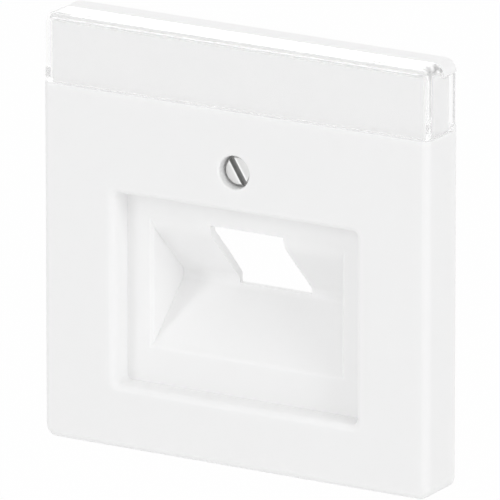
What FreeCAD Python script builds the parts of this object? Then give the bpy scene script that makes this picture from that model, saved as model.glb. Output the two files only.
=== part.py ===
import FreeCAD, Part
import os
import Sketcher

# Data outlet cover plate: a white moulded plate with a sunk recess, a V-shaped plug well with a sloping
# outlet opening, a captive slotted screw, and a clear label window that clips over the top edge.
# Frame: millimetres, +X right and +Z up seen from the front, the front face towards -Y.
# The origin is the centre of the rim's rear plane, so a depth from the front face is Y plus rim_depth.

# Name, value in millimetres (or degrees) and meaning of each driving size.
SIZES = [
    ("plate_width", 63.0, "outer width of the plate"),
    ("plate_height", 63.0, "outer height of the plate"),
    ("rim_depth", 7.9, "front face to the rim's rear plane"),
    ("outline_radius", 1.8, "corners of the plate seen from the front"),
    ("front_edge_radius", 1.15, "rounding all along the front edge"),
    ("rim_wall", 1.6, "thickness of the rim's walls"),
    ("panel_thickness", 2.0, "thickness of the front panel"),
    ("recess_width", 39.75, "sunk field, side to side"),
    ("recess_height", 28.4, "sunk field, bottom to top"),
    ("recess_centre_z", -7.85, "height of the sunk field's centre"),
    ("recess_depth", 3.55, "front face to the floor of the sunk field"),
    ("recess_draft", 0.28, "how far each side wall of the sunk field leans in, down to its floor"),
    ("recess_corner_radius", 0.8, "inner corners of the sunk field"),
    ("recess_edge_radius", 1.0, "rounding round the sunk field's mouth"),
    ("tub_wall", 1.4, "walls and floor behind the sunk field"),
    ("well_width", 30.95, "plug well, side to side"),
    ("well_height", 18.1, "plug well at the recess floor, bottom to top"),
    ("well_centre_z", -7.6, "height of the valley line of the plug well"),
    ("valley_depth", 12.5, "front face to the valley line"),
    ("well_end_draft", 0.25, "how far each end wall leans in, down to the valley"),
    ("well_edge_chamfer", 0.5, "bevel along the well's two end edges"),
    ("upper_blend_radius", 4.5, "blend from the recess floor into the upper slope"),
    ("lower_edge_radius", 0.8, "rounding from the recess floor into the lower slope"),
    ("valley_radius", 1.5, "rounding of the valley line"),
    ("well_wall", 1.2, "walls behind the plug well"),
    ("opening_width", 11.95, "outlet opening, side to side"),
    ("opening_top_z", 2.7, "height of the outlet opening's top edge"),
    ("opening_drop", 0.2, "outlet opening's lower edge below the valley line"),
    ("jack_seat_width", 16.6, "pocket for the jack's face behind the opening"),
    ("jack_seat_wall", 0.8, "wall left in front of the jack's face at the top"),
    ("jack_seat_knee", 1.2, "height of the upright foot of the jack's pocket"),
    ("jack_seat_backing", 0.2, "wall left behind the valley line"),
    ("jack_seat_rim", 0.6, "pocket above and below the opening"),
    ("screw_z", 12.25, "height of the screw"),
    ("screw_hole_diameter", 4.9, "counterbore for the screw's head"),
    ("screw_hole_edge_radius", 0.25, "rounding of the counterbore's mouth"),
    ("boss_diameter", 8.4, "boss behind the screw's hole"),
    ("boss_seat", 1.5, "boss material under the screw's head"),
    ("boss_web", 1.2, "thickness of the upright web through the boss"),
    ("web_depth", 1.2, "how far the web stands behind the panel"),
    ("head_diameter", 4.4, "screw head"),
    ("head_height", 1.6, "screw head"),
    ("head_bevel", 0.25, "bevel round the screw head's face"),
    ("head_sink", 0.9, "how far the screw head sits below the front face"),
    ("head_gap", 0.05, "play under the screw head"),
    ("slot_width", 0.75, "screwdriver slot"),
    ("slot_depth", 1.0, "screwdriver slot"),
    ("slot_angle", 32.0, "slot turned from upright, seen from the front"),
    ("neck_diameter", 2.0, "thin neck of the screw where its washer sits"),
    ("neck_margin", 0.3, "neck left free behind the washer"),
    ("thread_diameter", 2.5, "screw thread, over its crests"),
    ("shank_length", 15.5, "screw below its head"),
    ("thread_tip", 0.5, "bevel at the thread's free end"),
    ("thread_play", 0.25, "gap between the thread and its hole"),
    ("retainer_diameter", 5.6, "washer that keeps the screw in the plate"),
    ("retainer_thickness", 0.8, "washer that keeps the screw in the plate"),
    ("retainer_grip", 0.03, "gap between the washer and the neck"),
    ("retainer_gap", 0.3, "gap between the washer and the boss"),
    ("window_height", 10.3, "label window, from the plate's top edge down"),
    ("window_wall", 1.0, "wall of the label window"),
    ("window_top_depth", 4.3, "front face to the rear edge of the window's top flange"),
    ("window_leg_depth", 7.6, "front face to the rear edge of the window's side legs"),
    ("window_foot_depth", 7.15, "front face to the rear edge of the legs' lower ends"),
    ("window_leg_height", 8.2, "side legs, from the window's lower edge up"),
    ("window_gap", 0.12, "gap between the window and its seat"),
    ("seat_wall", 1.4, "walls of the window's seat"),
    ("snap_notch_depth", 1.25, "notch that opens the rim behind each side leg, from the rear plane forward"),
    ("snap_notch_margin", 0.7, "window's lower edge to the lower end of the notch"),
    ("card_thickness", 0.3, "label card"),
    ("card_margin", 0.3, "card edge to the edge of its seat"),
]

# A cutter stands this far proud of the face it enters, and this far past an edge it leaves by.
CUTTER_LEAD = 1.0
# Two places are the same place within this distance.
SAME = 1e-4

# Expressions that several sketches share.
FRONT = "(-sizes.rim_depth)"
HALF_WIDTH = "(sizes.plate_width / 2)"
HALF_HEIGHT = "(sizes.plate_height / 2)"
FLOOR = "(sizes.recess_depth - sizes.rim_depth)"
VALLEY = "(sizes.valley_depth - sizes.rim_depth)"
RECESS_TOP = "(sizes.recess_centre_z + sizes.recess_height / 2)"
RECESS_BOTTOM = "(sizes.recess_centre_z - sizes.recess_height / 2)"
WELL_TOP = "(sizes.well_centre_z + sizes.well_height / 2)"
WELL_BOTTOM = "(sizes.well_centre_z - sizes.well_height / 2)"
# Rise of a well slope for each millimetre of depth.
SLOPE = "(sizes.well_height / 2 / (sizes.valley_depth - sizes.recess_depth))"
# How far back the well's outer shell is moved so that its walls keep their thickness.
SHELL_SHIFT = f"(sizes.well_wall * sqrt(1 + {SLOPE} ^ 2) / {SLOPE})"
HEAD_SEAT = "(sizes.head_sink + sizes.head_height + sizes.head_gap)"
THREAD_HOLE = "(sizes.thread_diameter + 2 * sizes.thread_play)"
# Front and rear faces of the washer on the screw's neck.
WASHER_FRONT = f"({HEAD_SEAT} + sizes.boss_seat + sizes.retainer_gap - sizes.rim_depth)"
WASHER_REAR = f"({WASHER_FRONT} + sizes.retainer_thickness)"
# The window's seat: its step, and how far its faces lie under the plate's outer faces.
SEAT_STEP = f"({HALF_HEIGHT} - sizes.window_height)"
SEAT_INSET = "(sizes.window_wall + sizes.window_gap)"
CARD_SEAT_DEPTH = f"({SEAT_INSET} + sizes.card_thickness)"
LEG_TOP = f"({SEAT_STEP} + sizes.window_gap + sizes.window_leg_height)"
NOTCH_BOTTOM = f"({SEAT_STEP} + sizes.window_gap + sizes.snap_notch_margin)"

doc = FreeCAD.newDocument("data_outlet_cover_plate")
sheet = doc.addObject("Spreadsheet::Sheet", "sizes")
for row, (name, number, meaning) in enumerate(SIZES, start=1):
    sheet.set(f"A{row}", meaning)
    sheet.set(f"B{row}", str(number))
    sheet.setAlias(f"B{row}", name)
doc.recompute()


def value(expression):
    """Give the number that an expression of the sheet stands for."""
    return float(sheet.evalExpression(expression.replace("sizes.", "")))


def add_body(label):
    """Add an empty body with its own label."""
    body = doc.addObject("PartDesign::Body", label)
    body.Label = label
    return body


def add_sketch(body, role, name, lift="0"):
    """Add a sketch on one of the body's origin planes, lifted along that plane's normal."""
    plane = next(feature for feature in body.Origin.OriginFeatures if feature.Role == role)
    sketch = body.newObject("Sketcher::SketchObject", name)
    sketch.AttachmentSupport = [(plane, "")]
    sketch.MapMode = "FlatFace"
    sketch.setExpression("AttachmentOffset.Base.z", lift)
    return sketch


def hold_point(sketch, geometry, vertex, across, along):
    """Hold one point of a sketch at a pair of expressions, measured from the sketch's origin."""
    for kind, expression in (("DistanceX", across), ("DistanceY", along)):
        held = sketch.addConstraint(Sketcher.Constraint(kind, -1, 1, geometry, vertex, value(expression)))
        sketch.setExpression(f"Constraints[{held}]", expression)


def draw_outline(sketch, corners):
    """Draw a closed outline of straight lines, each corner a pair of expressions."""
    points = [FreeCAD.Vector(value(across), value(along), 0) for across, along in corners]
    lines = []
    for start, end in zip(points, points[1:] + points[:1]):
        lines.append(sketch.addGeometry(Part.LineSegment(start, end)))
    for line, following in zip(lines, lines[1:] + lines[:1]):
        sketch.addConstraint(Sketcher.Constraint("Coincident", line, 2, following, 1))
    for line, (across, along) in zip(lines, corners):
        hold_point(sketch, line, 1, across, along)


def draw_rectangle(sketch, left, right, bottom, top):
    """Draw a rectangle from the expressions of its four sides."""
    draw_outline(sketch, [(left, bottom), (right, bottom), (right, top), (left, top)])


def draw_circle(sketch, across, along, diameter):
    """Draw a circle from the expressions of its centre and diameter."""
    centre = FreeCAD.Vector(value(across), value(along), 0)
    up = FreeCAD.Vector(0, 0, 1)
    circle = sketch.addGeometry(Part.Circle(centre, up, value(diameter) / 2))
    hold_point(sketch, circle, 3, across, along)
    held = sketch.addConstraint(Sketcher.Constraint("Diameter", circle, value(diameter)))
    sketch.setExpression(f"Constraints[{held}]", diameter)


def add_pad(body, name, sketch, length, symmetric=False):
    """Add material along the sketch's normal, or to both sides of the sketch."""
    pad = body.newObject("PartDesign::Pad", name)
    pad.Profile = sketch
    pad.setExpression("Length", length)
    pad.SideType = "Symmetric" if symmetric else "One side"
    doc.recompute()
    return pad


def add_pocket(body, name, sketch, length, symmetric=False, along_normal=False):
    """Cut a pocket against the sketch's normal, along it, or to both sides, and make sure that it cuts."""
    before = body.Shape.Volume
    pocket = body.newObject("PartDesign::Pocket", name)
    pocket.Profile = sketch
    pocket.setExpression("Length", length)
    pocket.SideType = "Symmetric" if symmetric else "One side"
    pocket.Reversed = along_normal
    doc.recompute()
    if body.Shape.Volume > before - SAME:
        raise RuntimeError(f"{name} cuts nothing")
    return pocket


def round_edges(body, name, radius, wanted):
    """Round the edges of the body's last feature that pass a test on their ends and middle."""
    base = body.Tip
    names = []
    for number, edge in enumerate(base.Shape.Edges, start=1):
        middle = edge.valueAt((edge.FirstParameter + edge.LastParameter) / 2)
        if wanted(edge.Vertexes[0].Point, middle, edge.Vertexes[-1].Point):
            names.append(f"Edge{number}")
    if not names:
        raise RuntimeError(f"{name} finds no edge")
    fillet = body.newObject("PartDesign::Fillet", name)
    fillet.Base = (base, names)
    fillet.setExpression("Radius", radius)
    doc.recompute()
    return fillet


def same(a, b):
    """Tell whether two lengths are the same."""
    return abs(a - b) < SAME


def runs_along_depth(start, end):
    """Tell whether an edge runs straight from front to back."""
    return same(start.x, end.x) and same(start.z, end.z) and not same(start.y, end.y)


def in_plane(y, *points):
    """Tell whether all points lie at one depth."""
    return all(same(point.y, y) for point in points)


def make_well_cutter():
    """Make the solid form of the plug well: a V-shaped trough that blends into the recess floor."""
    body = add_body("plug_well_form")
    sketch = add_sketch(body, "YZ_Plane", "well_section")
    lead = f"({FLOOR} - {CUTTER_LEAD})"
    blend_top = f"({WELL_TOP} + sizes.upper_blend_radius / 2)"
    edge_bottom = f"({WELL_BOTTOM} - sizes.lower_edge_radius)"
    draw_outline(sketch, [
        (lead, edge_bottom), (FLOOR, edge_bottom), (FLOOR, WELL_BOTTOM), (VALLEY, "sizes.well_centre_z"),
        (FLOOR, WELL_TOP), (FLOOR, blend_top), (lead, blend_top)])
    add_pad(body, "well_trough", sketch, "sizes.well_width + 2 * sizes.well_edge_chamfer", symmetric=True)

    for name, radius, y, z in (
            ("upper_blend", "sizes.upper_blend_radius", FLOOR, WELL_TOP),
            ("lower_edge", "sizes.lower_edge_radius", FLOOR, WELL_BOTTOM),
            ("valley_line", "sizes.valley_radius", VALLEY, "sizes.well_centre_z")):
        place = (value(y), value(z))
        round_edges(body, name, radius, lambda start, middle, end: not same(start.x, end.x) and all(
            same(point.y, place[0]) and same(point.z, place[1]) for point in (start, end)))

    sketch = add_sketch(body, "XY_Plane", "well_ends")
    mouth = "(sizes.well_width / 2 + sizes.well_edge_chamfer)"
    past = f"({mouth} + {CUTTER_LEAD})"
    foot = "(sizes.well_width / 2 - sizes.well_end_draft)"
    bevel_depth = f"({FLOOR} + sizes.well_edge_chamfer)"
    behind = f"({VALLEY} + {CUTTER_LEAD})"
    for side in ("", "-"):
        draw_outline(sketch, [
            (side + mouth, FLOOR), (side + "sizes.well_width / 2", bevel_depth), (side + foot, behind),
            (side + past, behind), (side + past, FLOOR)])
    add_pocket(body, "well_end_walls", sketch, f"4 * {HALF_HEIGHT}", symmetric=True)
    return body


def add_plate_shell(body):
    """Mould the plate's rounded outside and the hollow behind its front panel."""
    sketch = add_sketch(body, "XZ_Plane", "plate_outline")
    draw_rectangle(sketch, "-" + HALF_WIDTH, HALF_WIDTH, "-" + HALF_HEIGHT, HALF_HEIGHT)
    add_pad(body, "plate_block", sketch, "sizes.rim_depth")
    round_edges(body, "outline_corners", "sizes.outline_radius",
                lambda start, middle, end: runs_along_depth(start, end))
    front = value(FRONT)
    round_edges(body, "front_edge", "sizes.front_edge_radius",
                lambda start, middle, end: in_plane(front, start, middle, end))

    sketch = add_sketch(body, "XZ_Plane", "rear_hollow_outline")
    inner = f"({HALF_WIDTH} - sizes.rim_wall)"
    draw_rectangle(sketch, "-" + inner, inner, f"sizes.rim_wall - {HALF_HEIGHT}",
                   f"{SEAT_STEP} - sizes.seat_wall")
    add_pocket(body, "rear_hollow", sketch, "sizes.rim_depth - sizes.panel_thickness", along_normal=True)

    sketch = add_sketch(body, "XZ_Plane", "label_hollow_outline")
    inner = f"({HALF_WIDTH} - {SEAT_INSET} - sizes.seat_wall)"
    draw_rectangle(sketch, "-" + inner, inner, f"{SEAT_STEP} - sizes.seat_wall",
                   f"{HALF_HEIGHT} - {SEAT_INSET} - sizes.seat_wall")
    add_pocket(body, "label_hollow", sketch, f"sizes.rim_depth - {CARD_SEAT_DEPTH} - sizes.seat_wall",
               along_normal=True)


def add_recess(body, well_cutter):
    """Add the sunk field, the shell of the plug well behind it, and the outlet opening."""
    half = "(sizes.recess_width / 2)"
    outer = f"({half} + sizes.tub_wall)"
    sketch = add_sketch(body, "XZ_Plane", "tub_outline",
                        "sizes.rim_depth - sizes.recess_depth - sizes.tub_wall")
    draw_rectangle(sketch, "-" + outer, outer, f"{RECESS_BOTTOM} - sizes.tub_wall",
                   f"{RECESS_TOP} + sizes.tub_wall")
    add_pad(body, "recess_tub", sketch, "sizes.recess_depth + sizes.tub_wall - sizes.panel_thickness")
    tub_side, tub_behind = value(outer), value("sizes.panel_thickness - sizes.rim_depth")
    round_edges(body, "tub_corners", "sizes.recess_corner_radius + sizes.tub_wall",
                lambda start, middle, end: runs_along_depth(start, end) and same(abs(start.x), tub_side)
                and min(start.y, end.y) > tub_behind - SAME)

    sketch = add_sketch(body, "YZ_Plane", "well_shell_section")
    root = f"({FLOOR} + sizes.tub_wall / 2)"
    crown = f"({VALLEY} + sizes.well_wall)"
    spread_at_root = f"(({VALLEY} + {SHELL_SHIFT} - {root}) * {SLOPE})"
    spread_at_crown = f"(({SHELL_SHIFT} - sizes.well_wall) * {SLOPE})"
    draw_outline(sketch, [
        (root, f"sizes.well_centre_z - {spread_at_root}"),
        (crown, f"sizes.well_centre_z - {spread_at_crown}"),
        (crown, f"sizes.well_centre_z + {spread_at_crown}"),
        (root, f"sizes.well_centre_z + {spread_at_root}")])
    add_pad(body, "well_shell", sketch, "sizes.well_width + 2 * sizes.well_wall", symmetric=True)

    sketch = add_sketch(body, "XY_Plane", "recess_section", RECESS_TOP)
    lead = f"({FRONT} - {CUTTER_LEAD})"
    foot = f"({half} - sizes.recess_draft)"
    draw_outline(sketch, [
        ("-" + half, lead), (half, lead), (half, FRONT), (foot, FLOOR), ("-" + foot, FLOOR), ("-" + half, FRONT)])
    add_pocket(body, "recess", sketch, "sizes.recess_height")
    side, top, bottom, front = value(half), value(RECESS_TOP), value(RECESS_BOTTOM), value(FRONT)
    inside = value(foot)
    round_edges(body, "recess_corners", "sizes.recess_corner_radius",
                lambda start, middle, end: inside < abs(middle.x) < side and not same(start.y, end.y)
                and any(same(start.z, place) and same(end.z, place) for place in (top, bottom)))
    round_edges(body, "recess_edge", "sizes.recess_edge_radius",
                lambda start, middle, end: in_plane(front, start, middle, end)
                and abs(middle.x) < side + SAME and bottom - SAME < middle.z < top + SAME)

    cut = body.newObject("PartDesign::Boolean", "plug_well")
    cut.Type = "Cut"
    cut.setObjects([well_cutter])
    doc.recompute()

    sketch = add_sketch(body, "YZ_Plane", "jack_seat_section")
    foot = f"({VALLEY} + sizes.jack_seat_backing)"
    brow = f"({FLOOR} + sizes.jack_seat_wall)"
    behind = f"({VALLEY} + sizes.well_wall + {CUTTER_LEAD})"
    low = "(sizes.well_centre_z - sizes.opening_drop - sizes.jack_seat_rim)"
    knee = "(sizes.well_centre_z + sizes.jack_seat_knee)"
    high = "(sizes.opening_top_z + sizes.jack_seat_rim)"
    draw_outline(sketch, [
        (foot, low), (foot, knee), (brow, "sizes.opening_top_z"), (brow, high),
        (behind, high), (behind, low)])
    add_pocket(body, "jack_seat", sketch, "sizes.jack_seat_width", symmetric=True)

    sketch = add_sketch(body, "XZ_Plane", "opening_outline")
    half = "(sizes.opening_width / 2)"
    draw_rectangle(sketch, "-" + half, half, "sizes.well_centre_z - sizes.opening_drop",
                   "sizes.opening_top_z")
    add_pocket(body, "outlet_opening", sketch, "4 * sizes.valley_depth", symmetric=True)


def add_screw_boss(body):
    """Add the boss, its web and the stepped hole for the captive screw."""
    behind_panel = "sizes.rim_depth - sizes.panel_thickness"
    sketch = add_sketch(body, "XZ_Plane", "web_outline", f"{behind_panel} - sizes.web_depth")
    draw_rectangle(sketch, "-sizes.boss_web / 2", "sizes.boss_web / 2",
                   f"{RECESS_TOP} + sizes.tub_wall / 2", f"{SEAT_STEP} - sizes.seat_wall / 2")
    add_pad(body, "boss_web", sketch, "sizes.web_depth")

    sketch = add_sketch(body, "XZ_Plane", "boss_outline",
                        f"sizes.rim_depth - {HEAD_SEAT} - sizes.boss_seat")
    draw_circle(sketch, "0", "sizes.screw_z", "sizes.boss_diameter")
    add_pad(body, "screw_boss", sketch, f"{HEAD_SEAT} + sizes.boss_seat - sizes.panel_thickness / 2")

    sketch = add_sketch(body, "XZ_Plane", "head_hole_outline", "sizes.rim_depth")
    draw_circle(sketch, "0", "sizes.screw_z", "sizes.screw_hole_diameter")
    add_pocket(body, "head_hole", sketch, HEAD_SEAT)
    front, side, top = value(FRONT), value("sizes.screw_hole_diameter / 2"), value("sizes.screw_z")
    round_edges(body, "head_hole_edge", "sizes.screw_hole_edge_radius",
                lambda start, middle, end: in_plane(front, start, middle, end)
                and abs(middle.x) < side + SAME and abs(middle.z - top) < side + SAME)

    sketch = add_sketch(body, "XZ_Plane", "thread_hole_outline", "sizes.rim_depth")
    draw_circle(sketch, "0", "sizes.screw_z", THREAD_HOLE)
    add_pocket(body, "thread_hole", sketch, "2 * sizes.rim_depth")


def add_window_seat(body):
    """Cut the stepped seat that the label window clips over, along the front, top and sides."""
    beyond_side = f"({HALF_WIDTH} + {CUTTER_LEAD})"
    beyond_top = f"({HALF_HEIGHT} + {CUTTER_LEAD})"
    seat_side = f"({HALF_WIDTH} - {SEAT_INSET})"

    sketch = add_sketch(body, "XZ_Plane", "card_seat_outline", "sizes.rim_depth")
    draw_rectangle(sketch, "-" + beyond_side, beyond_side, SEAT_STEP, beyond_top)
    add_pocket(body, "card_seat", sketch, CARD_SEAT_DEPTH)

    sketch = add_sketch(body, "XZ_Plane", "flange_seat_outline", "sizes.rim_depth")
    leg_seat_top = f"({LEG_TOP} + sizes.window_gap)"
    flange_seat = f"({HALF_HEIGHT} - {SEAT_INSET})"
    draw_outline(sketch, [
        ("-" + beyond_side, leg_seat_top), ("-" + seat_side, leg_seat_top), ("-" + seat_side, flange_seat),
        (seat_side, flange_seat), (seat_side, leg_seat_top), (beyond_side, leg_seat_top),
        (beyond_side, beyond_top), ("-" + beyond_side, beyond_top)])
    add_pocket(body, "flange_seat", sketch, "sizes.window_top_depth + sizes.window_gap")

    sketch = add_sketch(body, "XZ_Plane", "leg_seat_outline", "sizes.rim_depth")
    draw_rectangle(sketch, seat_side, beyond_side, SEAT_STEP, leg_seat_top)
    draw_rectangle(sketch, "-" + beyond_side, "-" + seat_side, SEAT_STEP, leg_seat_top)
    add_pocket(body, "leg_seats", sketch, "sizes.window_foot_depth + sizes.window_gap")

    sketch = add_sketch(body, "XZ_Plane", "snap_notch_outline")
    notch_inside = f"({seat_side} - sizes.seat_wall)"
    draw_rectangle(sketch, notch_inside, beyond_side, NOTCH_BOTTOM, leg_seat_top)
    draw_rectangle(sketch, "-" + beyond_side, "-" + notch_inside, NOTCH_BOTTOM, leg_seat_top)
    add_pocket(body, "snap_notches", sketch, "sizes.snap_notch_depth", along_normal=True)


def make_cover_plate():
    """Make the white moulding, all in one piece."""
    well_cutter = make_well_cutter()
    body = add_body("cover_plate")
    add_plate_shell(body)
    add_recess(body, well_cutter)
    add_screw_boss(body)
    add_window_seat(body)
    return body


def make_label_window():
    """Make the clear window: a front wall, a top flange and two side legs, flush with the plate."""
    body = add_body("label_window")
    lower = f"({SEAT_STEP} + sizes.window_gap)"
    behind_legs = "sizes.rim_depth - sizes.window_leg_depth"
    beyond_side = f"({HALF_WIDTH} + {CUTTER_LEAD})"
    beyond_top = f"({HALF_HEIGHT} + {CUTTER_LEAD})"

    sketch = add_sketch(body, "XZ_Plane", "window_outline", behind_legs)
    draw_rectangle(sketch, "-" + HALF_WIDTH, HALF_WIDTH, lower, HALF_HEIGHT)
    add_pad(body, "window_block", sketch, "sizes.window_leg_depth")
    top, front, edge = value(HALF_HEIGHT), value(FRONT), value(lower)
    round_edges(body, "window_corners", "sizes.outline_radius",
                lambda start, middle, end: runs_along_depth(start, end) and same(start.z, top))
    round_edges(body, "window_front_edge", "sizes.front_edge_radius",
                lambda start, middle, end: in_plane(front, start, middle, end) and middle.z > edge + SAME)

    sketch = add_sketch(body, "XZ_Plane", "window_inside", behind_legs)
    inner = f"({HALF_WIDTH} - sizes.window_wall)"
    draw_rectangle(sketch, "-" + inner, inner, f"{lower} - {CUTTER_LEAD}",
                   f"{HALF_HEIGHT} - sizes.window_wall")
    add_pocket(body, "window_hollow", sketch, "sizes.window_leg_depth - sizes.window_wall",
               along_normal=True)

    sketch = add_sketch(body, "XZ_Plane", "flange_rear_edge", behind_legs)
    draw_rectangle(sketch, "-" + beyond_side, beyond_side, LEG_TOP, beyond_top)
    add_pocket(body, "flange_trim", sketch, "sizes.window_leg_depth - sizes.window_top_depth",
               along_normal=True)

    sketch = add_sketch(body, "XZ_Plane", "foot_rear_edge", behind_legs)
    draw_rectangle(sketch, "-" + beyond_side, beyond_side, f"{lower} - {CUTTER_LEAD}",
                   f"{NOTCH_BOTTOM} + sizes.window_gap")
    add_pocket(body, "foot_trim", sketch, "sizes.window_leg_depth - sizes.window_foot_depth",
               along_normal=True)
    return body


def make_label_card():
    """Make the blank card: a strip that stands on the seat's step and lies against its face."""
    card = doc.addObject("Part::Box", "label_card")
    card.Label = "label_card"
    card.setExpression("Length", f"2 * ({HALF_WIDTH} - {SEAT_INSET} - sizes.card_margin)")
    card.setExpression("Width", "sizes.card_thickness")
    card.setExpression("Height", f"sizes.window_height - {SEAT_INSET} - sizes.card_margin")
    card.setExpression("Placement.Base.x", f"{SEAT_INSET} + sizes.card_margin - {HALF_WIDTH}")
    card.setExpression("Placement.Base.y", f"{SEAT_INSET} - sizes.rim_depth")
    card.setExpression("Placement.Base.z", SEAT_STEP)
    doc.recompute()
    return card


def add_turned_form(body, name, section):
    """Turn a section, given as pairs of depth and radius expressions, about the body's own Y axis."""
    sketch = add_sketch(body, "YZ_Plane", f"{name}_section")
    draw_outline(sketch, section)
    turned = body.newObject("PartDesign::Revolution", name)
    turned.Profile = sketch
    turned.ReferenceAxis = (sketch, ["H_Axis"])
    turned.Angle = 360
    doc.recompute()


def make_fixing_screw():
    """Make the slotted screw on its own axis, then stand that axis in the plate's hole."""
    body = add_body("fixing_screw")
    body.setExpression("Placement.Base.z", "sizes.screw_z")
    face = f"({FRONT} + sizes.head_sink)"
    shoulder = f"({face} + sizes.head_height)"
    tip = f"({shoulder} + sizes.shank_length)"
    head = "(sizes.head_diameter / 2)"
    neck = "(sizes.neck_diameter / 2)"
    neck_end = f"({WASHER_REAR} + sizes.neck_margin)"
    thread = "(sizes.thread_diameter / 2)"
    add_turned_form(body, "screw_blank", [
        (face, "0"), (face, f"{head} - sizes.head_bevel"), (f"{face} + sizes.head_bevel", head),
        (shoulder, head), (shoulder, neck), (neck_end, neck), (f"{neck_end} + {thread} - {neck}", thread),
        (f"{tip} - sizes.thread_tip", thread), (tip, f"{thread} - sizes.thread_tip"), (tip, "0")])

    sketch = add_sketch(body, "XZ_Plane", "slot_outline", "sizes.rim_depth - sizes.head_sink")
    sketch.setExpression("AttachmentOffset.Rotation.Angle", "sizes.slot_angle")
    draw_rectangle(sketch, "-sizes.slot_width / 2", "sizes.slot_width / 2", "-sizes.head_diameter",
                   "sizes.head_diameter")
    add_pocket(body, "driver_slot", sketch, "sizes.slot_depth")
    return body


def make_screw_retainer():
    """Make the washer that sits on the screw's neck behind the boss."""
    body = add_body("screw_retainer")
    body.setExpression("Placement.Base.z", "sizes.screw_z")
    inner = "(sizes.neck_diameter / 2 + sizes.retainer_grip)"
    outer = "(sizes.retainer_diameter / 2)"
    add_turned_form(body, "washer", [
        (WASHER_FRONT, inner), (WASHER_FRONT, outer), (WASHER_REAR, outer), (WASHER_REAR, inner)])
    return body


def check_document(parts):
    """Stop if any object of the document failed, or a part isn't one sound solid."""
    for item in doc.Objects:
        if "Invalid" in item.State or "Error" in item.State:
            raise RuntimeError(f"{item.Label} failed: {item.State}")
    for part in parts:
        if part.Shape.isNull() or not part.Shape.isValid() or len(part.Shape.Solids) != 1:
            raise RuntimeError(f"{part.Label} isn't one sound solid")


parts = [
    make_cover_plate(), make_label_window(), make_label_card(), make_fixing_screw(), make_screw_retainer()]
doc.recompute()
check_document(parts)
os.makedirs("parts", exist_ok=True)
for part in parts:
    part.Shape.exportStep(f"parts/{part.Label}.step")
    box = part.Shape.BoundBox
    print(f"{part.Label}: volume {part.Shape.Volume:.1f}, X {box.XMin:.2f} to {box.XMax:.2f}, "
          f"Y {box.YMin:.2f} to {box.YMax:.2f}, Z {box.ZMin:.2f} to {box.ZMax:.2f}")
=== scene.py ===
"""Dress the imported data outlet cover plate: finishes, the threaded screw, light, floor and camera."""

import math

import bmesh
import bpy
from mathutils import Matrix, Vector


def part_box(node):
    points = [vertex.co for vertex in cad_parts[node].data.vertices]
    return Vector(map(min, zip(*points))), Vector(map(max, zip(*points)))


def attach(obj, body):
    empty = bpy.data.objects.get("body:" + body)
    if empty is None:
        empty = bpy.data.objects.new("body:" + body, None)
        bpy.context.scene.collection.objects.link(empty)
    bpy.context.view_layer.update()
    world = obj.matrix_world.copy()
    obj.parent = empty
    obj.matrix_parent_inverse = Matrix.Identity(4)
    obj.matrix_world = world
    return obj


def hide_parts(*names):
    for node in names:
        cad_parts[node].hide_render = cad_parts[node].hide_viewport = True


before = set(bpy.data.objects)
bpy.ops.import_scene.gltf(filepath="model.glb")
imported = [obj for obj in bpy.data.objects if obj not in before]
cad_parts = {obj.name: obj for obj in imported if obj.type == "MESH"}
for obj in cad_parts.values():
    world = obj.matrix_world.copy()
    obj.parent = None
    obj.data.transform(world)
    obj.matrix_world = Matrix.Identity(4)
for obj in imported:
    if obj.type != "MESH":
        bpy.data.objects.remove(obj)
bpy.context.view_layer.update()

bl_info = {
    "name": "Data Outlet Cover Plate",
    "version": (1, 0, 0),
    "blender": (4, 5, 0),
    "location": "3D View > Sidebar > Outlet",
    "description": "Finishes, screw, light and camera for a moulded outlet cover plate with a label window",
    "category": "Object",
}

# Vertices this close together are one vertex, in metres.
WELD = 1e-6
# Edges that turn by more than this are drawn sharp.
SHARP_ANGLE = math.radians(35)
# Where the thread's root ends, and where its crest starts and ends, as shares of the pitch.
ROOT_END, CREST_START, CREST_END = 0.25, 0.56, 0.69
# Turns that are spun beyond the thread's length, so that both ends can be cut square.
SPARE_TURNS = 2
# The slot's painted shade reaches this far past its walls and floor, in metres, so that it covers them.
SLOT_MARGIN = 0.00001
# Mean of a noise texture, which is taken off where the noise swings both ways.
NOISE_MEAN = 0.5
# The photograph's width and height in pixels, and the width of the camera's sensor in millimetres.
FRAME_PIXELS = 500
SENSOR_WIDTH = 36.0
# Farthest that the camera sees, in metres.
SIGHT_LIMIT = 50.0
# Turns that light may take in the white hollows and the clear window before it is dropped.
LIGHT_TURNS = 32
LIGHT_LIMITS = (
    "max_bounces", "diffuse_bounces", "glossy_bounces", "transmission_bounces", "transparent_max_bounces")
# Soft lamps: name, azimuth and elevation in degrees, distance and width in metres, power in watts.
LAMPS = [
    ("lamp_left_front", -30.0, 26.0, 1.1, 0.25, 1.04),
    ("lamp_left_low", -30.0, 4.0, 1.1, 0.25, 0.50),
    ("lamp_right_front", 25.0, 10.0, 1.1, 0.35, 0.40),
    ("lamp_right", 70.0, 27.0, 1.1, 0.35, 1.92),
    ("lamp_right_low", 70.0, -8.0, 1.1, 0.25, 0.57),
    ("lamp_top", -60.0, 70.0, 1.1, 1.0, 0.21),
    ("lamp_behind_right", 120.0, 40.0, 1.1, 1.0, 0.30),
    ("lamp_behind_left", -130.0, 40.0, 1.1, 1.0, 1.50),
]


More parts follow.
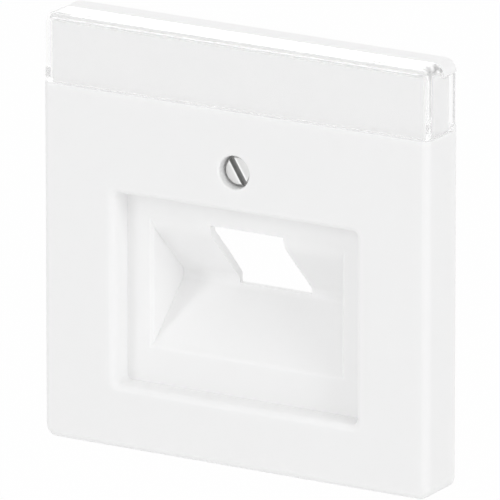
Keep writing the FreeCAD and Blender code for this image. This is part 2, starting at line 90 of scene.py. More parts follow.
class MouldingSettings(bpy.types.PropertyGroup):
    """Finish of the white plate."""

    colour: bpy.props.FloatVectorProperty(
        name="Colour", description="Colour of the white moulding", subtype="COLOR", size=3,
        min=0.0, max=1.0, default=(0.91, 0.91, 0.91))
    tone_spread: bpy.props.FloatProperty(
        name="Tone Spread", description="How much the faint patches lighten and darken the colour",
        subtype="FACTOR", min=0.0, max=1.0, default=0.012)
    roughness: bpy.props.FloatProperty(
        name="Roughness", description="Mean roughness of the moulded surface", subtype="FACTOR",
        min=0.0, max=1.0, default=0.56)
    roughness_spread: bpy.props.FloatProperty(
        name="Roughness Spread", description="How much the patches and the grain change the roughness",
        subtype="FACTOR", min=0.0, max=1.0, default=0.06)
    patch_size: bpy.props.FloatProperty(
        name="Patch Size", description="Size of the faint cloudy patches", unit="LENGTH", default=0.011)
    grain_size: bpy.props.FloatProperty(
        name="Grain Size", description="Size of the moulded grain", unit="LENGTH", default=0.0005)
    grain_height: bpy.props.FloatProperty(
        name="Grain Height", description="Height of the moulded grain", unit="LENGTH", default=0.0000015)
    scatter: bpy.props.FloatProperty(
        name="Scatter", description="Share of the light that scatters below the surface", subtype="FACTOR",
        min=0.0, max=1.0, default=0.6)
    scatter_reach: bpy.props.FloatProperty(
        name="Scatter Reach", description="How far light scatters below the surface", unit="LENGTH",
        default=0.0007)


class WindowSettings(bpy.types.PropertyGroup):
    """Finish of the clear label window."""

    tint: bpy.props.FloatVectorProperty(
        name="Tint", description="Colour of the clear plastic", subtype="COLOR", size=3,
        min=0.0, max=1.0, default=(0.985, 0.985, 0.985))
    roughness: bpy.props.FloatProperty(
        name="Roughness", description="Roughness of the polished plastic", subtype="FACTOR",
        min=0.0, max=1.0, default=0.08)
    refraction: bpy.props.FloatProperty(
        name="Refraction", description="Index of refraction of the clear plastic", min=1.0, max=2.0, default=1.46)


class CardSettings(bpy.types.PropertyGroup):
    """Finish of the blank card."""

    colour: bpy.props.FloatVectorProperty(
        name="Colour", description="Colour of the card", subtype="COLOR", size=3,
        min=0.0, max=1.0, default=(0.925, 0.925, 0.925))
    tone_spread: bpy.props.FloatProperty(
        name="Tone Spread", description="How much the cloudy patches lighten and darken the colour",
        subtype="FACTOR", min=0.0, max=1.0, default=0.02)
    roughness: bpy.props.FloatProperty(
        name="Roughness", description="Mean roughness of the card", subtype="FACTOR",
        min=0.0, max=1.0, default=0.85)
    roughness_spread: bpy.props.FloatProperty(
        name="Roughness Spread", description="How much the patches and the fibres change the roughness",
        subtype="FACTOR", min=0.0, max=1.0, default=0.1)
    patch_size: bpy.props.FloatProperty(
        name="Patch Size", description="Size of the cloudy patches", unit="LENGTH", default=0.004)
    grain_size: bpy.props.FloatProperty(
        name="Fibre Size", description="Size of the card's fibres", unit="LENGTH", default=0.0002)
    grain_height: bpy.props.FloatProperty(
        name="Fibre Height", description="Height of the card's fibres", unit="LENGTH", default=0.000004)


class ScrewSettings(bpy.types.PropertyGroup):
    """Sizes and finish of the captive screw."""

    colour: bpy.props.FloatVectorProperty(
        name="Colour", description="Colour of the plated steel", subtype="COLOR", size=3,
        min=0.0, max=1.0, default=(0.71, 0.71, 0.705))
    cloud_size: bpy.props.FloatProperty(
        name="Cloud Size", description="Size of the cloudy patches in the plating", unit="LENGTH", default=1 / 1200)
    cloud_spread: bpy.props.FloatProperty(
        name="Cloud Spread", description="How much the patches lighten and darken the plating", subtype="FACTOR",
        min=0.0, max=1.0, default=0.16)
    roughness: bpy.props.FloatProperty(
        name="Roughness", description="Mean roughness of the plated steel", subtype="FACTOR",
        min=0.0, max=1.0, default=0.42)
    ring_width: bpy.props.FloatProperty(
        name="Ring Width", description="Width of the turned rings on the head", unit="LENGTH", default=0.00009)
    ring_spread: bpy.props.FloatProperty(
        name="Ring Spread", description="How much the turned rings change the roughness", subtype="FACTOR",
        min=0.0, max=1.0, default=0.25)
    ring_height: bpy.props.FloatProperty(
        name="Ring Height", description="Height of the turned rings", unit="LENGTH", default=0.000006)
    # Painted shade: the steel's colour is darkened inside the slot, where the narrow slot lies in shade.
    slot_shade: bpy.props.FloatProperty(
        name="Slot Shade", description="Brightness of the dull steel inside the slot", subtype="FACTOR",
        min=0.0, max=1.0, default=0.42)
    # The painted shade deepens from the head's face down to this depth.
    shade_reach: bpy.props.FloatProperty(
        name="Shade Reach", description="Depth below the head's face at which the slot is fully dull",
        unit="LENGTH", default=0.0002)
    # Painted highlight: a lighter strip of colour along both edges of the slot, as wide as the highlight reach.
    edge_highlight: bpy.props.FloatProperty(
        name="Edge Wear", description="Extra brightness where drivers have polished the slot's edges",
        subtype="FACTOR", min=0.0, max=1.0, default=0.4)
    highlight_reach: bpy.props.FloatProperty(
        name="Wear Reach", description="Width of the polished strip beside the slot", unit="LENGTH", default=0.0004)
    head_height: bpy.props.FloatProperty(
        name="Head Height", description="Height of the solid screw's head", unit="LENGTH", default=0.0016)
    head_drop: bpy.props.FloatProperty(
        name="Head Drop", description="Head's face below that of the solid screw", unit="LENGTH", default=0.00025)
    head_radius: bpy.props.FloatProperty(
        name="Head Radius", description="Radius of the head", unit="LENGTH", default=0.00215)
    head_bevel: bpy.props.FloatProperty(
        name="Head Bevel", description="Bevel round the head's face", unit="LENGTH", default=0.00025)
    head_steps: bpy.props.IntProperty(
        name="Head Steps", description="Faces round the head and neck", min=8, default=64)
    slot_width: bpy.props.FloatProperty(
        name="Slot Width", description="Width of the screwdriver slot", unit="LENGTH", default=0.00095)
    slot_depth: bpy.props.FloatProperty(
        name="Slot Depth", description="Depth of the screwdriver slot", unit="LENGTH", default=0.00075)
    slot_angle: bpy.props.FloatProperty(
        name="Slot Angle", description="Slot turned from upright, seen from the front", subtype="ANGLE",
        default=math.radians(32))
    neck_radius: bpy.props.FloatProperty(
        name="Neck Radius", description="Radius of the neck between head and thread", unit="LENGTH", default=0.001)
    thread_length: bpy.props.FloatProperty(
        name="Thread Length", description="Threaded length, from the free end", unit="LENGTH", default=0.0123)
    thread_radius: bpy.props.FloatProperty(
        name="Thread Radius", description="Outer radius of the thread", unit="LENGTH", default=0.00125)
    thread_pitch: bpy.props.FloatProperty(
        name="Thread Pitch", description="Distance from one crest to the next", unit="LENGTH", default=0.00045)
    thread_depth: bpy.props.FloatProperty(
        name="Thread Depth", description="Crest to root, along the radius", unit="LENGTH", default=0.00026)
    tip_bevel: bpy.props.FloatProperty(
        name="Tip Bevel", description="Bevel at the free end of the thread", unit="LENGTH", default=0.0005)
    turn_steps: bpy.props.IntProperty(
        name="Turn Steps", description="Faces round one turn of the thread", min=8, default=28)


class WasherSettings(bpy.types.PropertyGroup):
    """Finish of the washer that keeps the screw in the plate."""

    colour: bpy.props.FloatVectorProperty(
        name="Colour", description="Colour of the nylon washer", subtype="COLOR", size=3,
        min=0.0, max=1.0, default=(0.80, 0.79, 0.75))
    tone_spread: bpy.props.FloatProperty(
        name="Tone Spread", description="How much the cloudy patches lighten and darken the colour",
        subtype="FACTOR", min=0.0, max=1.0, default=0.06)
    roughness: bpy.props.FloatProperty(
        name="Roughness", description="Mean roughness of the nylon", subtype="FACTOR",
        min=0.0, max=1.0, default=0.5)
    roughness_spread: bpy.props.FloatProperty(
        name="Roughness Spread", description="How much the patches and the grain change the roughness",
        subtype="FACTOR", min=0.0, max=1.0, default=0.1)
    patch_size: bpy.props.FloatProperty(
        name="Patch Size", description="Size of the cloudy patches", unit="LENGTH", default=0.002)
    grain_size: bpy.props.FloatProperty(
        name="Grain Size", description="Size of the moulded grain", unit="LENGTH", default=0.0002)
    grain_height: bpy.props.FloatProperty(
        name="Grain Height", description="Height of the moulded grain", unit="LENGTH", default=0.000004)
    scatter: bpy.props.FloatProperty(
        name="Scatter", description="Share of the light that scatters below the surface", subtype="FACTOR",
        min=0.0, max=1.0, default=0.2)
    scatter_reach: bpy.props.FloatProperty(
        name="Scatter Reach", description="How far light scatters below the surface", unit="LENGTH",
        default=0.0006)


class StageSettings(bpy.types.PropertyGroup):
    """Camera, floor and even light."""

    azimuth: bpy.props.FloatProperty(
        name="Azimuth", description="Camera turned to the right of straight ahead", subtype="ANGLE",
        default=math.radians(30.32))
    elevation: bpy.props.FloatProperty(
        name="Elevation", description="Camera height above the horizon", subtype="ANGLE",
        default=math.radians(16.41))
    distance: bpy.props.FloatProperty(
        name="Distance", description="Camera to the middle of the front face", unit="LENGTH", default=1.839)
    focal_pixels: bpy.props.FloatProperty(
        name="Focal Length", description="Focal length in pixels of the photograph", subtype="PIXEL",
        default=13020.0)
    middle_left: bpy.props.FloatProperty(
        name="Middle From Left", description="Middle of the front face, from the photograph's left edge",
        subtype="PIXEL", default=233.75)
    middle_top: bpy.props.FloatProperty(
        name="Middle From Top", description="Middle of the front face, from the photograph's top edge",
        subtype="PIXEL", default=256.26)
    floor_drop: bpy.props.FloatProperty(
        name="Floor Drop", description="Floor below the middle of the plate", unit="LENGTH", default=0.32)
    floor_radius: bpy.props.FloatProperty(
        name="Floor Radius", description="Radius of the round floor", unit="LENGTH", default=1.6)
    floor_steps: bpy.props.IntProperty(
        name="Floor Steps", description="Straight edges round the floor", min=8, default=96)
    floor_colour: bpy.props.FloatVectorProperty(
        name="Floor Colour", description="Colour of the floor", subtype="COLOR", size=3,
        min=0.0, max=1.0, default=(0.9, 0.9, 0.9))
    floor_white: bpy.props.FloatProperty(
        name="Floor White", description="Share of plain white in the floor that the camera sees",
        subtype="FACTOR", min=0.0, max=1.0, default=0.98)
    ambient: bpy.props.FloatProperty(
        name="Ambient", description="Strength of the even light from all round", min=0.0, default=0.72)


def add_noise(tree, detail):
    """Add a noise texture with a number of finer layers."""
    noise = tree.nodes.new("ShaderNodeTexNoise")
    noise.inputs["Detail"].default_value = detail
    return noise


def add_math(tree, operation, *operands):
    """Add a math node and give its result; each operand is a socket or a number."""
    node = tree.nodes.new("ShaderNodeMath")
    node.operation = operation
    for slot, operand in zip(node.inputs, operands):
        if isinstance(operand, bpy.types.NodeSocket):
            tree.links.new(operand, slot)
        else:
            slot.default_value = operand
    return node.outputs[0]


def mix_shaders(tree, share, first, second, surface):
    """Feed a surface from two shaders, with the given share of the second."""
    mix = tree.nodes.new("ShaderNodeMixShader")
    for source, slot in zip((share, first, second), mix.inputs):
        tree.links.new(source, slot)
    tree.links.new(mix.outputs["Shader"], surface)


def empty_tree(owner, output_kind):
    """Clear the nodes of a material or world, and give its tree and the surface of its new output."""
    owner.use_nodes = True
    tree = owner.node_tree
    tree.nodes.clear()
    return tree, tree.nodes.new(output_kind).inputs["Surface"]


def new_material(name):
    """Make a material with a Principled shader, and give the material, its tree, the shader and its surface."""
    material = bpy.data.materials.new(name)
    tree, surface = empty_tree(material, "ShaderNodeOutputMaterial")
    shader = tree.nodes.new("ShaderNodeBsdfPrincipled")
    tree.links.new(shader.outputs["BSDF"], surface)
    return material, tree, shader, surface


def colour_by_tone(tree, shader, colour, tone):
    """Feed a Principled shader's colour with a plain colour times a tone."""
    tint = tree.nodes.new("ShaderNodeMix")
    tint.data_type = "RGBA"
    tint.blend_type = "MULTIPLY"
    tint.inputs["Factor"].default_value = 1.0
    tint.inputs["A"].default_value = (*colour, 1.0)
    tree.links.new(tone, tint.inputs["B"])
    tree.links.new(tint.outputs["Result"], shader.inputs["Base Color"])


def raise_relief(tree, shader, pattern, height):
    """Feed a Principled shader's normal with a pattern of the given height in metres."""
    bump = tree.nodes.new("ShaderNodeBump")
    bump.inputs["Distance"].default_value = height
    tree.links.new(pattern, bump.inputs["Height"])
    tree.links.new(bump.outputs["Normal"], shader.inputs["Normal"])


def dress(node_name, material):
    """Give a CAD node its material."""
    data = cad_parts[node_name].data
    data.materials.clear()
    data.materials.append(material)


def moulded_surface_group():
    """Give the node group for a moulded or pressed surface: tone, roughness and height of its fine grain."""
    name = "moulded_surface"
    if name in bpy.data.node_groups:
        return bpy.data.node_groups[name]
    group = bpy.data.node_groups.new(name, "ShaderNodeTree")
    face = group.interface
    face.new_socket("Vector", in_out="INPUT", socket_type="NodeSocketVector")
    for label in ("Patch Scale", "Grain Scale", "Tone Spread", "Mean Roughness", "Roughness Spread"):
        face.new_socket(label, in_out="INPUT", socket_type="NodeSocketFloat")
    for label in ("Tone", "Roughness", "Height"):
        face.new_socket(label, in_out="OUTPUT", socket_type="NodeSocketFloat")
    entry = group.nodes.new("NodeGroupInput")
    leave = group.nodes.new("NodeGroupOutput")

    patches = add_noise(group, detail=3.0)
    patches.inputs["Roughness"].default_value = 0.55
    grain = add_noise(group, detail=2.0)
    for noise, label in ((patches, "Patch Scale"), (grain, "Grain Scale")):
        group.links.new(entry.outputs["Vector"], noise.inputs["Vector"])
        group.links.new(entry.outputs[label], noise.inputs["Scale"])
    patch_swing = add_math(group, "SUBTRACT", patches.outputs["Fac"], NOISE_MEAN)
    grain_swing = add_math(group, "SUBTRACT", grain.outputs["Fac"], NOISE_MEAN)
    tone = add_math(group, "MULTIPLY", patch_swing, entry.outputs["Tone Spread"])
    group.links.new(add_math(group, "ADD", tone, 1.0), leave.inputs["Tone"])
    both = add_math(group, "ADD", patch_swing, grain_swing)
    rough = add_math(group, "MULTIPLY", both, entry.outputs["Roughness Spread"])
    group.links.new(add_math(group, "ADD", rough, entry.outputs["Mean Roughness"]), leave.inputs["Roughness"])
    group.links.new(grain.outputs["Fac"], leave.inputs["Height"])
    return group


def add_moulded_surface(tree, shader, settings):
    """Feed a Principled shader's colour, roughness and normal from the moulded surface group."""
    place = tree.nodes.new("ShaderNodeTexCoord")
    surface = tree.nodes.new("ShaderNodeGroup")
    surface.node_tree = moulded_surface_group()
    tree.links.new(place.outputs["Object"], surface.inputs["Vector"])
    surface.inputs["Patch Scale"].default_value = 1 / settings.patch_size
    surface.inputs["Grain Scale"].default_value = 1 / settings.grain_size
    surface.inputs["Tone Spread"].default_value = settings.tone_spread
    surface.inputs["Mean Roughness"].default_value = settings.roughness
    surface.inputs["Roughness Spread"].default_value = settings.roughness_spread
    colour_by_tone(tree, shader, settings.colour, surface.outputs["Tone"])
    tree.links.new(surface.outputs["Roughness"], shader.inputs["Roughness"])
    raise_relief(tree, shader, surface.outputs["Height"], settings.grain_height)


def add_scatter(shader, settings):
    """Let a share of the light scatter below the surface of pale plastic."""
    shader.inputs["Subsurface Weight"].default_value = settings.scatter
    shader.inputs["Subsurface Radius"].default_value = (1.0, 1.0, 1.0)
    shader.inputs["Subsurface Scale"].default_value = settings.scatter_reach


class OUTLET_OT_cover_plate(bpy.types.Operator):
    """Finish the white moulding"""

    bl_idname = "outlet.cover_plate"
    bl_label = "Cover Plate"

    def execute(self, context):
        settings = context.scene.outlet_moulding
        material, tree, shader, _ = new_material("white_moulding")
        add_moulded_surface(tree, shader, settings)
        add_scatter(shader, settings)
        dress("cover_plate", material)
        return {"FINISHED"}


class OUTLET_OT_label_window(bpy.types.Operator):
    """Finish the clear label window"""

    bl_idname = "outlet.label_window"
    bl_label = "Label Window"

    def execute(self, context):
        settings = context.scene.outlet_window
        material, tree, shader, surface = new_material("clear_window")
        shader.inputs["Base Color"].default_value = (*settings.tint, 1.0)
        shader.inputs["Roughness"].default_value = settings.roughness
        shader.inputs["IOR"].default_value = settings.refraction
        shader.inputs["Transmission Weight"].default_value = 1.0
        # Light on its way to the card behind the thin walls passes straight through them.
        path = tree.nodes.new("ShaderNodeLightPath")
        lighting = add_math(tree, "MAXIMUM", path.outputs["Is Shadow Ray"], path.outputs["Is Diffuse Ray"])
        clear = tree.nodes.new("ShaderNodeBsdfTransparent")
        clear.inputs["Color"].default_value = (*settings.tint, 1.0)
        mix_shaders(tree, lighting, shader.outputs["BSDF"], clear.outputs["BSDF"], surface)
        dress("label_window", material)
        return {"FINISHED"}


class OUTLET_OT_label_card(bpy.types.Operator):
    """Finish the blank card behind the window"""

    bl_idname = "outlet.label_card"
    bl_label = "Label Card"

    def execute(self, context):
        material, tree, shader, _ = new_material("white_card")
        add_moulded_surface(tree, shader, context.scene.outlet_card)
        dress("label_card", material)
        return {"FINISHED"}


def all_of(shape):
    """Give every vertex, edge and face of a bmesh."""
    return shape.verts[:] + shape.edges[:] + shape.faces[:]


def close_holes(shape):
    """Fill each open loop of a bmesh with a face."""
    bmesh.ops.edgeloop_fill(shape, edges=[edge for edge in shape.edges if edge.is_boundary])


def draw_outline(shape, axis_height, outline):
    """Draw a chain of edges above the screw's axis, from places along it and radii, and give its geometry."""
    points = [shape.verts.new((0, along, axis_height + radius)) for along, radius in outline]
    return points + [shape.edges.new(pair) for pair in zip(points, points[1:])]


def cut_slot(shape, settings, floor):
    """Cut a straight slot across the head, down to a point on its floor, and give it walls and a floor."""
    inward = Vector((0, 1, 0))
    across = Vector((math.cos(settings.slot_angle), 0, math.sin(settings.slot_angle)))
    half = settings.slot_width / 2
    for place, facing in ((floor, inward), (floor + across * half, across), (floor - across * half, across)):
        bmesh.ops.bisect_plane(shape, geom=all_of(shape), dist=WELD, plane_co=place, plane_no=facing)
    middles = {face: face.calc_center_median() - floor for face in shape.faces}
    inside = [face for face, middle in middles.items() if middle.y < 0 and abs(middle.dot(across)) < half]
    bmesh.ops.delete(shape, geom=inside, context="FACES")
    for side in (half, -half):
        wall = [
            edge for edge in shape.edges
            if edge.is_boundary and all(abs((end.co - floor).dot(across) - side) < WELD for end in edge.verts)]
        corners = {end for edge in wall for end in edge.verts if sum(end in other.verts for other in wall) == 1}
        wall.append(shape.edges.new(corners))
        bmesh.ops.edgeloop_fill(shape, edges=wall)
    close_holes(shape)


def screw_head_and_neck(settings, axis_height, face, shoulder, thread_start):
    """Spin the head and neck, and cut the screwdriver slot."""
    rim, neck, bevel = settings.head_radius, settings.neck_radius, settings.head_bevel
    shape = bmesh.new()
    outline = draw_outline(shape, axis_height, [
        (face, 0.0), (face, rim - bevel), (face + bevel, rim), (shoulder, rim),
        (shoulder, neck), (thread_start, neck), (thread_start, 0.0)])
    bmesh.ops.spin(
        shape, geom=outline, cent=(0, 0, axis_height), axis=(0, 1, 0), angle=math.tau,
        steps=settings.head_steps, use_merge=True, use_duplicate=False)
    bmesh.ops.remove_doubles(shape, verts=shape.verts, dist=WELD)
    cut_slot(shape, settings, Vector((0, face + settings.slot_depth, axis_height)))
    return shape


def screw_thread(settings, axis_height, start, end):
    """Spin one turn's outline into a thread, cut it to length, close its ends and bevel its free end."""
    pitch, crest = settings.thread_pitch, settings.thread_radius
    root = crest - settings.thread_depth
    shape = bmesh.new()
    outline = draw_outline(shape, axis_height, [
        (start + (along - 1) * pitch, radius) for along, radius in (
            (0.0, root), (ROOT_END, root), (CREST_START, crest), (CREST_END, crest), (1.0, root))])
    turns = math.ceil((end - start) / pitch) + SPARE_TURNS
    bmesh.ops.spin(
        shape, geom=outline, cent=(0, 0, axis_height), axis=(0, 1, 0),
        dvec=(0, pitch / settings.turn_steps, 0), angle=math.tau * turns, steps=turns * settings.turn_steps,
        use_merge=False, use_duplicate=False)
    bmesh.ops.remove_doubles(shape, verts=shape.verts, dist=WELD)
    for place, side in ((start, "clear_inner"), (end, "clear_outer")):
        bmesh.ops.bisect_plane(
            shape, geom=all_of(shape), dist=WELD, plane_co=(0, place, axis_height), plane_no=(0, 1, 0),
            **{side: True})
    close_holes(shape)
    axis = Vector((0, 0, axis_height))
    for vertex in shape.verts:
        reach = Vector((vertex.co.x, 0, vertex.co.z - axis.z))
        limit = crest - max(0.0, vertex.co.y - (end - settings.tip_bevel))
        if reach.length > limit:
            reach *= limit / reach.length
            vertex.co = axis + reach + Vector((0, vertex.co.y, 0))
    return shape


def slot_tone(tree, settings, place, face):
    """Give the tone of the head's steel, from places about its axis: painted shade in the slot, a painted highlight
    beside it.
    """
    along_x = add_math(tree, "MULTIPLY", place["X"], math.cos(settings.slot_angle))
    along_z = add_math(tree, "MULTIPLY", place["Z"], math.sin(settings.slot_angle))
    offset = add_math(tree, "ABSOLUTE", add_math(tree, "ADD", along_x, along_z))
    below = add_math(tree, "SUBTRACT", place["Y"], face)
    # Painted shade: the colour darkens from the head's face down into the slot, reaching the slot shade at the shade
    # reach.
    sunk = add_math(tree, "MINIMUM", add_math(tree, "DIVIDE", below, settings.shade_reach), 1.0)
    in_slot = add_math(tree, "LESS_THAN", offset, settings.slot_width / 2 + SLOT_MARGIN)
    in_head = add_math(tree, "LESS_THAN", below, settings.slot_depth + SLOT_MARGIN)
    shaded = add_math(tree, "MULTIPLY", sunk, add_math(tree, "MULTIPLY", in_slot, in_head))
    shaded = add_math(tree, "MULTIPLY", shaded, settings.slot_shade - 1.0)
    # Painted highlight: the colour is lighter in a strip along the slot's edges, fading out over the highlight reach.
    highlight_ramp = tree.nodes.new("ShaderNodeMapRange")
    highlight_ramp.inputs["From Min"].default_value = settings.slot_width / 2
    highlight_ramp.inputs["From Max"].default_value = settings.slot_width / 2 + settings.highlight_reach
    highlight_ramp.inputs["To Min"].default_value = settings.edge_highlight
    highlight_ramp.inputs["To Max"].default_value = 0.0
    tree.links.new(offset, highlight_ramp.inputs["Value"])
    painted_highlight = add_math(tree, "MULTIPLY", highlight_ramp.outputs["Result"], in_head)
    return add_math(tree, "MULTIPLY", add_math(tree, "ADD", shaded, 1.0), add_math(tree, "ADD", painted_highlight, 1.0))


def plated_steel(settings, axis_height, face):
    """Make the screw's steel: turned rings about its axis, cloudy plating, painted shade in the slot and a painted
    highlight along its edges.
    """
    material, tree, shader, _ = new_material("plated_steel")
    shader.inputs["Metallic"].default_value = 1.0
    place = tree.nodes.new("ShaderNodeTexCoord")
    centre = tree.nodes.new("ShaderNodeMapping")
    centre.inputs["Location"].default_value = (0, 0, -axis_height)
    tree.links.new(place.outputs["Object"], centre.inputs["Vector"])
    parts = tree.nodes.new("ShaderNodeSeparateXYZ")
    tree.links.new(centre.outputs["Vector"], parts.inputs["Vector"])

    cloud = add_noise(tree, detail=3.0)
    cloud.inputs["Scale"].default_value = 1 / settings.cloud_size
    tree.links.new(centre.outputs["Vector"], cloud.inputs["Vector"])
    plating = add_math(tree, "MULTIPLY", cloud.outputs["Fac"], settings.cloud_spread)
    plating = add_math(tree, "ADD", plating, 1.0 - settings.cloud_spread * NOISE_MEAN)
    tone = add_math(tree, "MULTIPLY", plating, slot_tone(tree, settings, parts.outputs, face))
    colour_by_tone(tree, shader, settings.colour, tone)

    across = add_math(tree, "MULTIPLY", parts.outputs["X"], parts.outputs["X"])
    upward = add_math(tree, "MULTIPLY", parts.outputs["Z"], parts.outputs["Z"])
    radius = add_math(tree, "SQRT", add_math(tree, "ADD", across, upward))
    rings = add_noise(tree, detail=2.0)
    rings.noise_dimensions = "1D"
    rings.inputs["Scale"].default_value = 1 / settings.ring_width
    tree.links.new(radius, rings.inputs["W"])
    swing = add_math(tree, "SUBTRACT", rings.outputs["Fac"], NOISE_MEAN)
    rough = add_math(tree, "ADD", add_math(tree, "MULTIPLY", swing, settings.ring_spread), settings.roughness)
    tree.links.new(rough, shader.inputs["Roughness"])
    raise_relief(tree, shader, rings.outputs["Fac"], settings.ring_height)
    return material


class OUTLET_OT_fixing_screw(bpy.types.Operator):
    """Build the screw with its slotted head and its thread"""

    bl_idname = "outlet.fixing_screw"
    bl_label = "Fixing Screw"

    def execute(self, context):
        settings = context.scene.outlet_screw
        low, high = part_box("fixing_screw")
        axis_height = (low.z + high.z) / 2
        thread_start = high.y - settings.thread_length
        face = low.y + settings.head_drop
        thread = screw_thread(settings, axis_height, thread_start, high.y)
        mesh = bpy.data.meshes.new("threaded_screw")
        thread.to_mesh(mesh)
        thread.free()
        shape = screw_head_and_neck(settings, axis_height, face, low.y + settings.head_height, thread_start)
        shape.from_mesh(mesh)
        bmesh.ops.recalc_face_normals(shape, faces=shape.faces)
        for side in shape.faces:
            side.smooth = True
        shape.to_mesh(mesh)
        shape.free()
        mesh.set_sharp_from_angle(angle=SHARP_ANGLE)
        mesh.materials.append(plated_steel(settings, axis_height, face))
        screw = bpy.data.objects.new("threaded_screw", mesh)
        context.scene.collection.objects.link(screw)
        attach(screw, "screw")
        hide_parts("fixing_screw")
        return {"FINISHED"}


class OUTLET_OT_screw_retainer(bpy.types.Operator):
    """Finish the washer that keeps the screw in the plate"""

    bl_idname = "outlet.screw_retainer"
    bl_label = "Screw Retainer"

    def execute(self, context):
        settings = context.scene.outlet_washer
        material, tree, shader, _ = new_material("natural_nylon")
        add_moulded_surface(tree, shader, settings)
        add_scatter(shader, settings)
        dress("screw_retainer", material)
        return {"FINISHED"}


def seen_directly(tree):
    """Give 1 where the camera sees a surface itself, in gloss or through clear walls, and 0 where it lights others."""
    path = tree.nodes.new("ShaderNodeLightPath")
    seen = add_math(tree, "MAXIMUM", path.outputs["Is Camera Ray"], path.outputs["Is Glossy Ray"])
    seen = add_math(tree, "MAXIMUM", seen, path.outputs["Is Transmission Ray"])
    # The depth counts whole bounces, so this holds only before the first one off a matt surface.
    unscattered = add_math(tree, "LESS_THAN", path.outputs["Diffuse Depth"], 0.5)
    return add_math(tree, "MULTIPLY", seen, unscattered)


def floor_material(settings):
    """Make the pale floor: white to the camera, gloss and glass, with part of the real shadow kept."""
    material = bpy.data.materials.new("pale_floor")
    tree, surface = empty_tree(material, "ShaderNodeOutputMaterial")
    matt = tree.nodes.new("ShaderNodeBsdfDiffuse")
    matt.inputs["Color"].default_value = (*settings.floor_colour, 1.0)
    glow = tree.nodes.new("ShaderNodeEmission")
    share = add_math(tree, "MULTIPLY", seen_directly(tree), settings.floor_white)
    mix_shaders(tree, share, matt.outputs["BSDF"], glow.outputs["Emission"], surface)
    return material


def add_floor(scene, settings):
    """Lay a round floor below the plate."""
    shape = bmesh.new()
    bmesh.ops.create_circle(shape, cap_ends=True, segments=settings.floor_steps, radius=settings.floor_radius)
    bmesh.ops.translate(shape, verts=shape.verts, vec=(0, 0, -settings.floor_drop))
    mesh = bpy.data.meshes.new("floor")
    shape.to_mesh(mesh)
    shape.free()
    mesh.materials.append(floor_material(settings))
    floor = bpy.data.objects.new("floor", mesh)
    scene.collection.objects.link(floor)


def set_world(scene, ambient):
    """Light the scene evenly from all round, with white behind the object."""
    world = bpy.data.worlds.new("studio")
    scene.world = world
    tree, surface = empty_tree(world, "ShaderNodeOutputWorld")
    extra = add_math(tree, "MULTIPLY", seen_directly(tree), 1.0 - ambient)
    strength = add_math(tree, "ADD", extra, ambient)
    back = tree.nodes.new("ShaderNodeBackground")
    back.inputs["Color"].default_value = (1.0, 1.0, 1.0, 1.0)
    tree.links.new(strength, back.inputs["Strength"])
    tree.links.new(back.outputs["Background"], surface)


def direction(azimuth, elevation):
    """Give the unit vector towards a place round the object; azimuth 0 is in front of the plate."""
    return Vector((
        math.sin(azimuth) * math.cos(elevation), -math.cos(azimuth) * math.cos(elevation), math.sin(elevation)))


def add_lamp(scene, middle, name, azimuth, elevation, distance, width, power):
    """Add one square soft lamp that faces the plate."""
    data = bpy.data.lights.new(name, "AREA")
    data.size = width
    data.energy = power
    lamp = bpy.data.objects.new(name, data)
    away = direction(math.radians(azimuth), math.radians(elevation))
    lamp.location = middle + away * distance
    lamp.rotation_euler = (-away).to_track_quat("-Z", "Y").to_euler()
    scene.collection.objects.link(lamp)


def add_camera(scene, settings, middle):
    """Add the camera where the photograph was taken from."""
    data = bpy.data.cameras.new("camera")
    data.sensor_width = SENSOR_WIDTH
    data.lens = settings.focal_pixels / FRAME_PIXELS * SENSOR_WIDTH
    data.clip_end = SIGHT_LIMIT
    away = direction(settings.azimuth, settings.elevation)
    right = Vector((math.cos(settings.azimuth), math.sin(settings.azimuth), 0))
    up = away.cross(right)
    pixel = settings.distance / settings.focal_pixels
    aim = middle + right * (FRAME_PIXELS / 2 - settings.middle_left) * pixel
    aim = aim + up * (settings.middle_top - FRAME_PIXELS / 2) * pixel
    camera = bpy.data.objects.new("camera", data)
    turn = Matrix((right, up, away)).transposed()
    camera.matrix_world = Matrix.Translation(aim + away * settings.distance) @ turn.to_4x4()
    scene.collection.objects.link(camera)
    scene.camera = camera


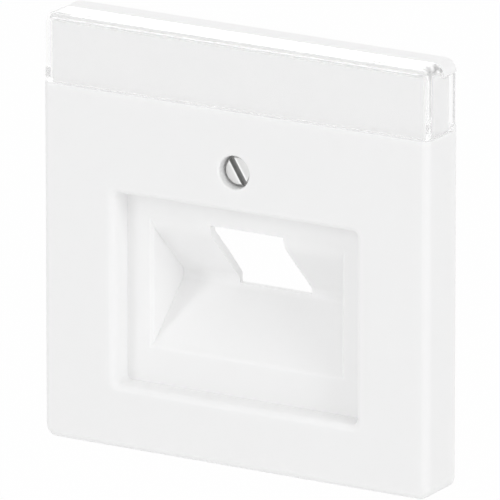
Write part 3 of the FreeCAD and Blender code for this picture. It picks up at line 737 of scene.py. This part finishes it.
class OUTLET_OT_stage(bpy.types.Operator):
    """Set the camera, floor, world and lamps"""

    bl_idname = "outlet.stage"
    bl_label = "Stage"

    def execute(self, context):
        scene = context.scene
        settings = scene.outlet_stage
        scene.view_settings.view_transform = "Standard"
        low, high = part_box("cover_plate")
        middle = Vector(((low.x + high.x) / 2, low.y, (low.z + high.z) / 2))
        add_camera(scene, settings, middle)
        add_floor(scene, settings)
        set_world(scene, settings.ambient)
        for limit in LIGHT_LIMITS:
            setattr(scene.cycles, limit, LIGHT_TURNS)
        for lamp in LAMPS:
            add_lamp(scene, middle, *lamp)
        return {"FINISHED"}


class OUTLET_PT_pieces(bpy.types.Panel):
    """List the pieces of the cover plate"""

    bl_idname = "OUTLET_PT_pieces"
    bl_label = "Outlet Cover Plate"
    bl_space_type = "VIEW_3D"
    bl_region_type = "UI"
    bl_category = "Outlet"

    def draw(self, context):
        for operator in OPERATORS:
            self.layout.operator(operator.bl_idname)


OPERATORS = (
    OUTLET_OT_cover_plate, OUTLET_OT_label_window, OUTLET_OT_label_card, OUTLET_OT_fixing_screw,
    OUTLET_OT_screw_retainer, OUTLET_OT_stage)
SETTINGS = {
    "outlet_moulding": MouldingSettings, "outlet_window": WindowSettings, "outlet_card": CardSettings,
    "outlet_screw": ScrewSettings, "outlet_washer": WasherSettings, "outlet_stage": StageSettings}


def register():
    """Register the settings, operators and panel, and hang the settings on the scene."""
    for kind in (*SETTINGS.values(), *OPERATORS, OUTLET_PT_pieces):
        bpy.utils.register_class(kind)
    for name, settings in SETTINGS.items():
        setattr(bpy.types.Scene, name, bpy.props.PointerProperty(type=settings))


def unregister():
    """Undo what register did."""
    for name in SETTINGS:
        delattr(bpy.types.Scene, name)
    for kind in (OUTLET_PT_pieces, *OPERATORS, *SETTINGS.values()):
        bpy.utils.unregister_class(kind)


def main():
    """Finish every piece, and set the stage."""
    register()
    bpy.ops.outlet.cover_plate()
    bpy.ops.outlet.label_window()
    bpy.ops.outlet.label_card()
    bpy.ops.outlet.fixing_screw()
    bpy.ops.outlet.screw_retainer()
    bpy.ops.outlet.stage()


if __name__ == "__main__":
    main()
